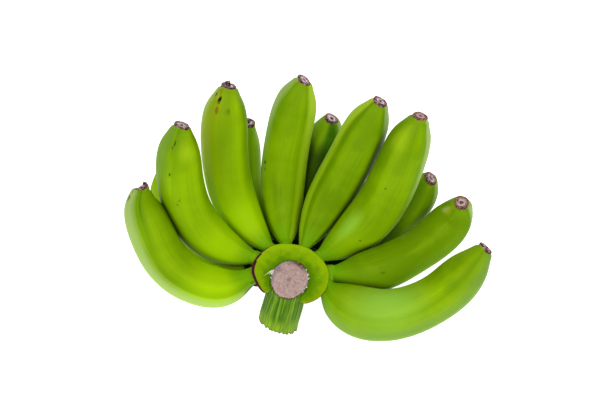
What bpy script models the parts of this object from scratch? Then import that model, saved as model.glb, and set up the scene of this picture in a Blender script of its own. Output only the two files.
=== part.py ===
"""A cut hand of green bananas, lying on its back: twelve fruit in two rows round a crown with its stalk.

Metres, +Z up. The origin is on the surface that the hand lies on, in the middle of its footprint. Each
fruit is one solid, swept along a curved centreline, and the crown, its collar and the stalk are one more.
The crown leans back, so the fruit of the lower row and the foot of the stalk rest on the surface.
"""

import math

import bmesh
import bpy
from mathutils import Matrix, Vector

MM = 0.001

# The crown: its place above the surface, and how its axis leans.
COLLAR_HEIGHT = 60.0 * MM
AXIS_LEAN = math.radians(14.6)
AXIS_LEAN_TOWARDS = math.radians(56.0)
COLLAR_RADIUS = 31.0 * MM
COLLAR_THICKNESS = 3.0 * MM
CUSHION_RADIUS = 27.0 * MM
CUSHION_DEPTH = 38.0 * MM
CUSHION_SET_BACK = 6.0 * MM

# The stalk runs through the open front of the collar, parallel to the crown's axis.
STALK_RADIUS_TOP = 15.6 * MM
STALK_RADIUS_FOOT = 15.4 * MM
STALK_SET_FORWARD = 7.3 * MM
STALK_RISE = 6.0 * MM
STALK_LENGTH = 62.0 * MM
STALK_FOOT_LEAN = math.radians(31.0)
STALK_FOOT_SHIFT = -2.5 * MM
CUT_FACE_TILT = math.radians(-6.0)
NOTCH_WIDTH = 39.5 * MM
NOTCH_MIDDLE = -4.7 * MM

# Necks leave the cushion on two rings, one above the other.
UPPER_RING = {"radius": 28.0 * MM, "below_collar": 7.5 * MM}
LOWER_RING = {"radius": 20.0 * MM, "below_collar": 22.5 * MM}
NECK_ROOT = 3.5 * MM

# The sweep of every fruit: how far its curve runs straight on from the neck and back from the tip, as
# shares of the distance between them, and its half-width along its length, as shares of the girth.
NECK_HANDLE = 0.51
TIP_HANDLE = 0.40
GIRTH_STATIONS = (
    (0.00, 0.30), (0.05, 0.40), (0.12, 0.60), (0.21, 0.82), (0.30, 0.94), (0.42, 1.00), (0.60, 1.00),
    (0.75, 0.98), (0.82, 0.93), (0.88, 0.83), (0.925, 0.67), (0.965, 0.45), (1.00, 0.33),
)
RINGS = 22
SIDES = 15
RIDGES = 5
RIDGE_HEIGHT = 0.03

# Clearance between solids that touch.
GAP = 0.3 * MM

# Upper row, left to right: necks are evenly spread round the ring.
FIRST_NECK = 179.0
NECK_STEP = -27.8

# Each fruit: where its neck is on the ring (lower row only), the direction in which the neck leaves and how
# far it droops there, the place of the tip from the collar's centre, the direction and climb of the tip, and
# the fruit's greatest half-width. Degrees are turned from +X towards +Y; lengths are in millimetres.
UPPER_ROW = (
    {"leaves": 217, "droops": 27, "tip": (-117, 59, 42), "aims": 68, "climbs": 35, "girth": 18.3},
    {"leaves": 166, "droops": 8, "tip": (-83, 93, 81), "aims": 76, "climbs": 50, "girth": 18.8},
    {"leaves": 129, "droops": 13, "tip": (-48, 131, 76), "aims": 77, "climbs": 49, "girth": 18.8},
    {"leaves": 95, "droops": 18, "tip": (11, 142, 66), "aims": 57, "climbs": 57, "girth": 19.4},
    {"leaves": 67, "droops": -12, "tip": (71, 115, 78), "aims": 52, "climbs": 56, "girth": 18.2},
    {"leaves": 29, "droops": -15, "tip": (100, 96, 87), "aims": 53, "climbs": 56, "girth": 19.0},
    {"leaves": -18, "droops": -15, "tip": (139, 58, 14), "aims": -13, "climbs": 86, "girth": 17.9},
    {"leaves": -55, "droops": 15, "tip": (151, 10, 35), "aims": 50, "climbs": 44, "girth": 19.8},
)
LOWER_ROW = (
    {"at": 168, "leaves": 159, "droops": 29, "tip": (-109, 102, -12), "aims": 89, "climbs": 59, "girth": 17},
    {"at": 112, "leaves": 117, "droops": 33, "tip": (-35, 138, 4), "aims": 62, "climbs": 60, "girth": 15.9},
    {"at": 67, "leaves": 65, "droops": 25, "tip": (33, 132, 19), "aims": 51, "climbs": 76, "girth": 17.1},
    {"at": 22, "leaves": 38, "droops": 19, "tip": (114, 80, 12), "aims": 13, "climbs": 82, "girth": 17.5},
)

PEEL_COLOUR = (0.24, 0.46, 0.0, 1.0)
SHADED_PEEL_COLOUR = (0.13, 0.30, 0.0, 1.0)
STALK_COLOUR = (0.12, 0.32, 0.03, 1.0)
PEEL_ROUGHNESS = 0.38
STALK_ROUGHNESS = 0.6


def clear_scene():
    for old in list(bpy.data.objects):
        bpy.data.objects.remove(old)


def new_collection(name, is_helper):
    group = bpy.data.collections.new(name)
    bpy.context.scene.collection.children.link(group)
    group.hide_render = is_helper
    return group


def plain_material(name, colour, roughness):
    material = bpy.data.materials.new(name)
    material.use_nodes = True
    surface = material.node_tree.nodes["Principled BSDF"]
    surface.inputs["Base Color"].default_value = colour
    surface.inputs["Roughness"].default_value = roughness
    surface.inputs["Metallic"].default_value = 0.0
    material.diffuse_color = colour
    return material


def crown_frame():
    """The crown's own axes: Z along its axis, X to the right, Y towards the back, at the collar's centre."""
    lean = math.sin(AXIS_LEAN)
    axis = Vector((
        lean * math.cos(AXIS_LEAN_TOWARDS), lean * math.sin(AXIS_LEAN_TOWARDS), math.cos(AXIS_LEAN),
    ))
    across = (Vector((1, 0, 0)) - axis.x * axis).normalized()
    back = axis.cross(across)
    frame = Matrix((across, back, axis)).transposed().to_4x4()
    frame.translation = (0, 0, COLLAR_HEIGHT)
    return frame


def heading(turn_degrees, climb_degrees):
    """A unit vector, turned from +X towards +Y, and climbing from the plane."""
    turn = math.radians(turn_degrees)
    climb = math.radians(climb_degrees)
    return Vector((
        math.cos(turn) * math.cos(climb), math.sin(turn) * math.cos(climb), math.sin(climb),
    ))


def girth_share(along):
    """The fruit's half-width at a share of its length, read off straight between the stations."""
    for (start, low), (end, high) in zip(GIRTH_STATIONS, GIRTH_STATIONS[1:]):
        if along <= end:
            return low + (high - low) * (along - start) / (end - start)
    return GIRTH_STATIONS[-1][1]


def centreline(frame, fruit, neck_degrees, ring):
    """The four control points of a fruit's curve, the first at its neck and the last at its tip."""
    neck_place = heading(neck_degrees, 0) * ring["radius"]
    neck_place += Vector((0, CUSHION_SET_BACK, -ring["below_collar"]))
    neck = frame @ neck_place
    leaving = frame.to_3x3() @ heading(fruit["leaves"], -fruit["droops"])
    tip = Vector((0, 0, COLLAR_HEIGHT)) + Vector(fruit["tip"]) * MM
    aim = heading(fruit["aims"], fruit["climbs"])
    span = (tip - neck).length
    return neck, neck + leaving * span * NECK_HANDLE, tip - aim * span * TIP_HANDLE, tip


def even_points(controls, count):
    """Points at even distances along the cubic curve, with each one's share of the length."""
    fine = 200
    p0, p1, p2, p3 = controls
    walk = []
    for step in range(fine + 1):
        t = step / fine
        u = 1 - t
        walk.append(p0 * u**3 + p1 * 3 * t * u * u + p2 * 3 * t * t * u + p3 * t**3)
    travelled = [0.0]
    for here, after in zip(walk, walk[1:]):
        travelled.append(travelled[-1] + (after - here).length)
    points = []
    index = 0
    for number in range(count):
        wanted = travelled[-1] * number / (count - 1)
        while index < fine - 1 and travelled[index + 1] < wanted:
            index += 1
        part = (wanted - travelled[index]) / (travelled[index + 1] - travelled[index])
        points.append((walk[index].lerp(walk[index + 1], part), number / (count - 1)))
    return points


def section_curve(name, radius, sides, ridges, ridge_height, group):
    """A closed cross-section, round or with soft ridges, for a sweep."""
    data = bpy.data.curves.new(name, "CURVE")
    data.dimensions = "2D"
    spline = data.splines.new("POLY")
    spline.points.add(sides - 1)
    for number, point in enumerate(spline.points):
        turn = 2 * math.pi * number / sides
        reach = radius * (1 + ridge_height * math.cos(ridges * turn))
        point.co = (reach * math.cos(turn), reach * math.sin(turn), 0, 1)
    spline.use_cyclic_u = True
    section = bpy.data.objects.new(name, data)
    section.hide_render = True
    group.objects.link(section)
    return section


def mesh_from_sweep(name, places, section, group):
    """Sweeps the section along (point, scale) pairs, as one closed mesh object."""
    data = bpy.data.curves.new(name + "_path", "CURVE")
    data.dimensions = "3D"
    data.bevel_mode = "OBJECT"
    data.bevel_object = section
    data.use_fill_caps = True
    spline = data.splines.new("POLY")
    spline.points.add(len(places) - 1)
    for point, (place, scale) in zip(spline.points, places):
        point.co = (*place, 1)
        point.radius = scale
    sweep = bpy.data.objects.new(name + "_path", data)
    group.objects.link(sweep)
    bpy.context.view_layer.update()
    evaluated = sweep.evaluated_get(bpy.context.evaluated_depsgraph_get())
    mesh = bpy.data.meshes.new_from_object(evaluated)
    mesh.name = name
    solid = bpy.data.objects.new(name, mesh)
    solid.matrix_world = sweep.matrix_world
    bpy.data.objects.remove(sweep)
    group.objects.link(solid)
    tidy_mesh(mesh)
    return solid


def tidy_mesh(mesh):
    """Welds the caps and points every face outwards."""
    shape = bmesh.new()
    shape.from_mesh(mesh)
    bmesh.ops.remove_doubles(shape, verts=shape.verts, dist=0.01 * MM)
    bmesh.ops.recalc_face_normals(shape, faces=shape.faces)
    shape.to_mesh(mesh)
    shape.free()


def turned_solid(name, outline, frame, group):
    """A solid turned about the frame's Z axis from (radius, height) points, from the top down."""
    steps = 48
    mesh = bpy.data.meshes.new(name)
    mesh.from_pydata(
        [(radius, 0, height) for radius, height in outline],
        [(number, number + 1) for number in range(len(outline) - 1)],
        [],
    )
    solid = bpy.data.objects.new(name, mesh)
    solid.matrix_world = frame
    group.objects.link(solid)
    turn = solid.modifiers.new("turn", "SCREW")
    turn.steps = steps
    turn.render_steps = steps
    turn.use_merge_vertices = True
    turn.merge_threshold = 0.01 * MM
    apply_modifiers(solid)
    tidy_mesh(solid.data)
    return solid


def apply_modifiers(solid):
    bpy.context.view_layer.update()
    evaluated = solid.evaluated_get(bpy.context.evaluated_depsgraph_get())
    mesh = bpy.data.meshes.new_from_object(evaluated)
    mesh.name = solid.data.name
    solid.modifiers.clear()
    solid.data = mesh


def boolean(solid, other, operation):
    step = solid.modifiers.new(operation.lower(), "BOOLEAN")
    step.operation = operation
    step.object = other
    step.solver = "EXACT"
    apply_modifiers(solid)
    tidy_mesh(solid.data)


def crown_blank(name, growth, frame, stalk_section, group):
    """The crown's cushion, collar and stalk as one solid, with every face set out by growth."""
    cushion_frame = frame @ Matrix.Translation((0, CUSHION_SET_BACK, 0))
    cushion = turned_solid(name, (
        (0, 0.5 * MM),
        (CUSHION_RADIUS - 4 * MM + growth, 0.5 * MM),
        (CUSHION_RADIUS - 1 * MM + growth, -4.0 * MM),
        (CUSHION_RADIUS + growth, -9.0 * MM),
        (CUSHION_RADIUS - 1 * MM + growth, -20.0 * MM),
        (CUSHION_RADIUS - 5 * MM + growth, -30.0 * MM - growth),
        (CUSHION_RADIUS - 13 * MM + growth, -CUSHION_DEPTH - growth),
        (0, -CUSHION_DEPTH - growth),
    ), cushion_frame, group)
    collar = turned_solid(name + "_collar", (
        (0, 3.5 * MM + growth),
        (STALK_RADIUS_TOP + 2 * MM, 3.5 * MM + growth),
        (COLLAR_RADIUS - 8 * MM, 1.6 * MM + growth),
        (COLLAR_RADIUS - 1.5 * MM, 2.0 * MM + growth),
        (COLLAR_RADIUS + growth, 1.0 * MM),
        (COLLAR_RADIUS + growth, -0.6 * MM),
        (COLLAR_RADIUS - 2 * MM, 2.0 * MM - COLLAR_THICKNESS - growth),
        (0, -2.0 * MM - COLLAR_THICKNESS - growth),
    ), frame, group)
    boolean(cushion, collar, "UNION")
    bpy.data.objects.remove(collar)
    notch = notch_cutter(name + "_notch", growth, frame, group)
    boolean(cushion, notch, "DIFFERENCE")
    bpy.data.objects.remove(notch)
    stalk = stalk_solid(name + "_stalk", growth, frame, stalk_section, group)
    boolean(cushion, stalk, "UNION")
    bpy.data.objects.remove(stalk)
    return cushion


def notch_cutter(name, growth, frame, group):
    """The open front of the collar, where the stalk runs through."""
    depth = COLLAR_RADIUS * 2
    mesh = bpy.data.meshes.new(name)
    shape = bmesh.new()
    bmesh.ops.create_cube(shape, size=1.0)
    shape.to_mesh(mesh)
    shape.free()
    size = Matrix.Diagonal((NOTCH_WIDTH - 2 * growth, depth, 2 * CUSHION_DEPTH + COLLAR_RADIUS, 1))
    middle = Matrix.Translation((NOTCH_MIDDLE, -STALK_SET_FORWARD - depth / 2 - growth, 0))
    mesh.transform(middle @ size)
    cutter = bpy.data.objects.new(name, mesh)
    cutter.matrix_world = frame
    group.objects.link(cutter)
    return cutter


def stalk_solid(name, growth, frame, section, group):
    """The stalk from its cut face down to its slanting foot."""
    top = STALK_RISE + STALK_RADIUS_TOP
    foot = STALK_RISE - STALK_LENGTH - STALK_RADIUS_FOOT
    places = []
    count = 6
    for number in range(count):
        share = number / (count - 1)
        height = top + (foot - top) * share
        radius = STALK_RADIUS_TOP + (STALK_RADIUS_FOOT - STALK_RADIUS_TOP) * share + growth
        places.append((Vector((STALK_FOOT_SHIFT * share, -STALK_SET_FORWARD, height)), radius))
    stalk = mesh_from_sweep(name, places, section, group)
    stalk.data.transform(frame)
    cut_middle = frame @ Vector((0, -STALK_SET_FORWARD, STALK_RISE + growth))
    trim(stalk.data, cut_middle, Vector((0, math.sin(CUT_FACE_TILT), math.cos(CUT_FACE_TILT))))
    foot_place = Vector((STALK_FOOT_SHIFT, -STALK_SET_FORWARD, STALK_RISE - STALK_LENGTH - growth))
    foot_normal = -heading(math.degrees(AXIS_LEAN_TOWARDS), 90 - math.degrees(STALK_FOOT_LEAN))
    trim(stalk.data, frame @ foot_place, foot_normal)
    return stalk


def trim(mesh, place, normal):
    """Removes what lies beyond the plane and closes the cut with one flat face."""
    shape = bmesh.new()
    shape.from_mesh(mesh)
    everything = shape.verts[:] + shape.edges[:] + shape.faces[:]
    cut = bmesh.ops.bisect_plane(
        shape, geom=everything, plane_co=place, plane_no=normal, clear_outer=True, dist=0.001 * MM,
    )
    rim = [item for item in cut["geom_cut"] if isinstance(item, bmesh.types.BMEdge)]
    bmesh.ops.contextual_create(shape, geom=rim)
    bmesh.ops.recalc_face_normals(shape, faces=shape.faces)
    shape.to_mesh(mesh)
    shape.free()


def rest_on_surface(solid):
    """Presses a solid flat where it would reach below the surface."""
    mesh = solid.data
    mesh.transform(solid.matrix_world)
    solid.matrix_world = Matrix.Identity(4)
    if min(point.co.z for point in mesh.vertices) < 0:
        trim(mesh, Vector((0, 0, 0)), Vector((0, 0, -1)))


def banana(name, fruit, neck_degrees, ring, frame, section, clearance, group):
    controls = centreline(frame, fruit, neck_degrees, ring)
    girth = fruit["girth"] * MM
    points = even_points(controls, RINGS)
    root = controls[0] - (controls[1] - controls[0]).normalized() * NECK_ROOT
    places = [(root, girth * girth_share(0))]
    places += [(place, girth * girth_share(along)) for place, along in points]
    solid = mesh_from_sweep(name, places, section, group)
    boolean(solid, clearance, "DIFFERENCE")
    return solid


def finish(solid, material):
    solid.data.materials.clear()
    solid.data.materials.append(material)
    solid.data.shade_smooth()
    solid.data.set_sharp_from_angle(angle=math.radians(40))


def centre_on_origin(solids, name, group):
    """Hangs every solid on one empty, placed so that the footprint's middle is at the origin."""
    corners = [solid.matrix_world @ point.co for solid in solids for point in solid.data.vertices]
    middle_x = (min(c.x for c in corners) + max(c.x for c in corners)) / 2
    middle_y = (min(c.y for c in corners) + max(c.y for c in corners)) / 2
    root = bpy.data.objects.new(name, None)
    group.objects.link(root)
    for solid in solids:
        solid.parent = root
    root.location = (-middle_x, -middle_y, 0)
    print("collar centre at", round(-middle_x, 5), round(-middle_y, 5), COLLAR_HEIGHT)


def build():
    clear_scene()
    group = new_collection("hand_of_bananas", False)
    helpers = new_collection("cutters", True)
    frame = crown_frame()
    peel = plain_material("green_peel", PEEL_COLOUR, PEEL_ROUGHNESS)
    shaded_peel = plain_material("green_peel_lower_row", SHADED_PEEL_COLOUR, PEEL_ROUGHNESS)
    stalk_skin = plain_material("green_stalk", STALK_COLOUR, STALK_ROUGHNESS)
    fruit_section = section_curve("fruit_section", 1.0, SIDES, RIDGES, RIDGE_HEIGHT, helpers)
    stalk_section = section_curve("stalk_section", 1.0, 32, 8, 0.02, helpers)

    clearance = crown_blank("crown_clearance", GAP, frame, stalk_section, helpers)
    clearance.hide_render = True
    clearance.display_type = "WIRE"
    crown = crown_blank("crown_and_stalk", 0.0, frame, stalk_section, group)

    solids = [crown]
    finishes = [stalk_skin]
    for number, fruit in enumerate(UPPER_ROW):
        neck = FIRST_NECK + NECK_STEP * number
        name = f"upper_banana_{number + 1}"
        solids.append(banana(name, fruit, neck, UPPER_RING, frame, fruit_section, clearance, group))
        finishes.append(peel)
    for number, fruit in enumerate(LOWER_ROW):
        name = f"lower_banana_{number + 1}"
        solids.append(banana(name, fruit, fruit["at"], LOWER_RING, frame, fruit_section, clearance, group))
        finishes.append(shaded_peel)
    for solid, material in zip(solids, finishes):
        rest_on_surface(solid)
        finish(solid, material)
    centre_on_origin(solids, "hand", group)


build()
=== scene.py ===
import math
import bmesh
import bpy
import numpy as np
from mathutils import Matrix, Vector, noise
from mathutils.bvhtree import BVHTree


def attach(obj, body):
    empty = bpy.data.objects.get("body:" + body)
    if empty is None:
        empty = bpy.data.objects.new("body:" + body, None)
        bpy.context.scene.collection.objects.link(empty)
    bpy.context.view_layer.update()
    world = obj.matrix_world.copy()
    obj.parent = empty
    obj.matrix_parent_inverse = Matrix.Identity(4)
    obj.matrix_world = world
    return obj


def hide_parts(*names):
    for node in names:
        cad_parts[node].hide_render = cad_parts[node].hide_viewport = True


# A hand of green bananas: every fruit is swept along the middle of its CAD solid, with small shifts and swells
# of its own; the crown, collar and stalk are built round the CAD crown. Metres, +Z up.
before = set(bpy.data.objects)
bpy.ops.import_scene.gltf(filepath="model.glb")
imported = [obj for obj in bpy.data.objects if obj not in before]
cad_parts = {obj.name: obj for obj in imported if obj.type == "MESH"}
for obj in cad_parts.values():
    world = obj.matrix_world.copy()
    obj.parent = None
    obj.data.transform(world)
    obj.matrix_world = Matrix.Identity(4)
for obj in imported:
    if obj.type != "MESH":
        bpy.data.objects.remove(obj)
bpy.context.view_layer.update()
mm = 0.001


def hexColour(text):  # sRGB hex to linear RGBA
    channels = [int(text[at:at + 2], 16) / 255 for at in (1, 3, 5)]
    return tuple(c / 12.92 if c <= 0.04045 else ((c + 0.055) / 1.055) ** 2.4 for c in channels) + (1.0,)


def addNode(tree, kind, inputs=None, stops=None, **settings):
    node = tree.nodes.new(kind)
    for name, value in settings.items():
        setattr(node, name, value)
    for key, value in (inputs or {}).items():
        if isinstance(value, bpy.types.NodeSocket):
            tree.links.new(value, node.inputs[key])
        else:
            node.inputs[key].default_value = value
    if stops:
        ramp = node.color_ramp
        while len(ramp.elements) < len(stops):
            ramp.elements.new(0.5)
        for element, (place, colour) in zip(ramp.elements, stops):
            element.position = place
            element.color = colour
    return node


def turnsAround(count):
    return np.linspace(0, 2 * math.pi, count, endpoint=False)


def pieceName(kind, node):
    return kind + node.title().replace("_", "")


def newMaterial(name):
    material = bpy.data.materials.new(name)
    material.use_nodes = True
    tree = material.node_tree
    surface = tree.nodes["Principled BSDF"]
    return material, tree, surface


def grow(tree, operation, *parts, limit=False):  # sums, smooth steps and mixes; a part may be one of them too
    grown = [grow(tree, *part) if isinstance(part, tuple) and isinstance(part[0], str)
             else hexColour(part) if isinstance(part, str) else part for part in parts]
    if operation == "STEP":  # of a value, from low to high, giving toLow to toHigh
        sockets = ("Value", "From Min", "From Max", "To Min", "To Max")
        return addNode(tree, "ShaderNodeMapRange", dict(zip(sockets, grown)),
                       interpolation_type="SMOOTHSTEP").outputs["Result"]
    if operation == "MIX":  # by a share, of a first and a second colour
        return addNode(tree, "ShaderNodeMix", dict(zip((0, 6, 7), grown)), data_type="RGBA",
                       clamp_factor=True).outputs[2]
    return addNode(tree, "ShaderNodeMath", dict(enumerate(grown)), operation=operation,
                   use_clamp=limit).outputs[0]


def finishSurface(tree, surface, colour, relief, roughness, gloss):  # relief: strength, depth and pattern
    tree.links.new(colour, surface.inputs["Base Color"])
    bump = addNode(tree, "ShaderNodeBump", dict(zip(("Strength", "Distance", "Height"), relief)))
    tree.links.new(bump.outputs[0], surface.inputs["Normal"])
    surface.inputs["Roughness"].default_value = roughness
    surface.inputs["Specular IOR Level"].default_value = gloss


# The crown's own frame, from the CAD stalk's flat cut face
crown = {
    "lean": 14.6, "leanTowards": 56.0, "cutTilt": -6.0, "cutRise": 6.0 * mm, "stalkForward": 7.3 * mm,
}


def findCrownFrame():
    lean, towards = math.radians(crown["lean"]), math.radians(crown["leanTowards"])
    axis = Vector((math.sin(lean) * math.cos(towards), math.sin(lean) * math.sin(towards), math.cos(lean)))
    across = (Vector((1, 0, 0)) - axis.x * axis).normalized()
    turned = Matrix((across, axis.cross(across), axis)).transposed()
    tilt = math.radians(crown["cutTilt"])
    facing = Vector((0, math.sin(tilt), math.cos(tilt)))
    middle, area = Vector(), 0.0
    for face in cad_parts["crown_and_stalk"].data.polygons:
        if face.normal.dot(facing) > 0.9998:
            middle += face.center * face.area
            area += face.area
    placed = turned.to_4x4()
    placed.translation = middle / area - turned @ Vector((0, -crown["stalkForward"], crown["cutRise"]))
    return placed


crownFrame = findCrownFrame()
collarCentre = crownFrame.translation
print("crown at", [round(v, 4) for v in collarCentre])


# The fruit's middle lines, measured from the CAD solids
def mergedSolid(node):
    shape = bmesh.new()
    shape.from_mesh(node.data)
    bmesh.ops.remove_doubles(shape, verts=shape.verts, dist=0.01 * mm)
    shape.verts.index_update()
    points = np.array([v.co for v in shape.verts])
    edges = np.array([[v.index for v in e.verts] for e in shape.edges])
    tree = BVHTree.FromBMesh(shape)
    shape.free()
    return points, edges, tree


def cutAcross(points, edges, place, heading, reach):  # centre, half-width and outline of a slice
    height = (points - place) @ heading
    low, high = height[edges[:, 0]], height[edges[:, 1]]
    crossing = low * high < 0
    first, second = points[edges[crossing, 0]], points[edges[crossing, 1]]
    share = (low[crossing] / (low[crossing] - high[crossing]))[:, None]
    hits = first + (second - first) * share
    hits = hits[np.linalg.norm(hits - place, axis=1) < reach]
    if len(hits) < 9:
        return None
    side = np.cross(heading, [0.31, 0.47, 0.83])
    side /= np.linalg.norm(side)
    up = np.cross(heading, side)
    flat = (hits - hits.mean(0)) @ np.stack([side, up], 1)
    order = np.argsort(np.arctan2(flat[:, 1], flat[:, 0]))
    x, y = flat[order].T
    nextX, nextY = np.roll(x, -1), np.roll(y, -1)
    wedge = x * nextY - nextX * y
    area = wedge.sum() / 2
    if area < 1e-6:
        return None
    shiftX = ((x + nextX) * wedge).sum() / (6 * area)
    shiftY = ((y + nextY) * wedge).sum() / (6 * area)
    return hits.mean(0) + side * shiftX + up * shiftY, math.sqrt(area / math.pi), hits


def walkMiddle(points, edges, place, heading, smallest, stopNear):  # from the middle of the fruit to an end
    step = 3.0 * mm
    found = []
    while step > 0.15 * mm:
        guess = place + heading * step
        cut = cutAcross(points, edges, guess, heading, 30 * mm)
        if cut is not None and cut[1] < smallest:
            cut = None
        if cut is not None:
            ahead = cut[0] - place
            turned = heading * 0.5 + ahead / np.linalg.norm(ahead) * 0.5
            turned /= np.linalg.norm(turned)
            cut = cutAcross(points, edges, cut[0], turned, 30 * mm)
        if cut is None or cut[1] < smallest:
            step /= 2
            continue
        if stopNear and min(stopNear.find_nearest(Vector(hit))[3] for hit in cut[2]) < 0.9 * mm:
            break
        place, heading = cut[0], turned
        found.append((place, cut[1]))
    return found, heading


def middleLine(name, rootDepth):
    points, edges, _ = mergedSolid(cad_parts[name])
    centre = points.mean(0)
    tip = points[np.argmax(np.linalg.norm(points - np.array(collarCentre), axis=1))]
    heading = tip - np.array(collarCentre)
    heading /= np.linalg.norm(heading)
    for _ in range(4):
        cut = cutAcross(points, edges, centre, heading, 45 * mm)
        centre = cut[0]
        ahead = cutAcross(points, edges, centre + heading * 4 * mm, heading, 30 * mm)[0]
        behind = cutAcross(points, edges, centre - heading * 4 * mm, heading, 30 * mm)[0]
        heading = (ahead - behind) / np.linalg.norm(ahead - behind)
    thinnest = cut[1] * 0.345
    outer, outward = walkMiddle(points, edges, centre, heading, thinnest, None)
    inner, inward = walkMiddle(points, edges, centre, -heading, thinnest * 0.6, crownSurface)
    last = outer[-1][0]
    beyond = np.sort((points - last) @ outward)[-15:].mean()
    outer.append((last + outward * beyond, cut[1] * 0.33))
    line = inner[::-1] + [(centre, cut[1])] + outer
    places = np.array([place for place, _ in line])
    girths = np.array([girth for _, girth in line])
    root = places[0] + inward * rootDepth
    places = np.concatenate([[root], [places[0] + inward * rootDepth * 0.5], places])
    girths = np.concatenate([[girths[0] * 0.9], [girths[0] * 0.93], girths])
    return places, girths


def evened(places, girths, count, smoothing):
    travelled = np.concatenate([[0], np.cumsum(np.linalg.norm(np.diff(places, axis=0), axis=1))])
    wanted = np.linspace(0, travelled[-1], count)
    line = np.stack([np.interp(wanted, travelled, places[:, axis]) for axis in range(3)], 1)
    width = np.interp(wanted, travelled, girths)
    for number in range(smoothing):
        line[1:-1] = (line[:-2] + 2 * line[1:-1] + line[2:]) / 4
        if number < 4:
            width[1:-1] = (width[:-2] + 2 * width[1:-1] + width[2:]) / 4
    travelled = np.concatenate([[0], np.cumsum(np.linalg.norm(np.diff(line, axis=0), axis=1))])
    ahead = (line[-1] - line[-2]) / np.linalg.norm(line[-1] - line[-2])
    ends = np.array(((2.4, 1.0), (1.8, 0.985), (1.45, 0.95), (1.3, 0.90)))
    line = np.concatenate([line[:-2], line[-1] - ahead * ends[:, :1] * mm])
    width = np.concatenate([width[:-2], width[-1] * ends[:, 1]])
    travelled = np.concatenate([travelled[:-2], travelled[-1] - ends[:, 0] * mm])
    return line, width, travelled


_, _, crownSurface = mergedSolid(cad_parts["crown_and_stalk"])


def carriedAcross(line, reference):  # a sideways direction carried along the line without twist
    ahead = np.gradient(line, axis=0)
    ahead /= np.linalg.norm(ahead, axis=1)[:, None]
    middle = len(line) // 2
    across = np.zeros_like(line)
    across[middle] = reference - ahead[middle] * (reference @ ahead[middle])
    across[middle] /= np.linalg.norm(across[middle])
    for way, stop in ((1, len(line)), (-1, -1)):
        for at in range(middle + way, stop, way):
            turned = across[at - way] - ahead[at] * (across[at - way] @ ahead[at])
            across[at] = turned / np.linalg.norm(turned)
    return ahead, across


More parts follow.
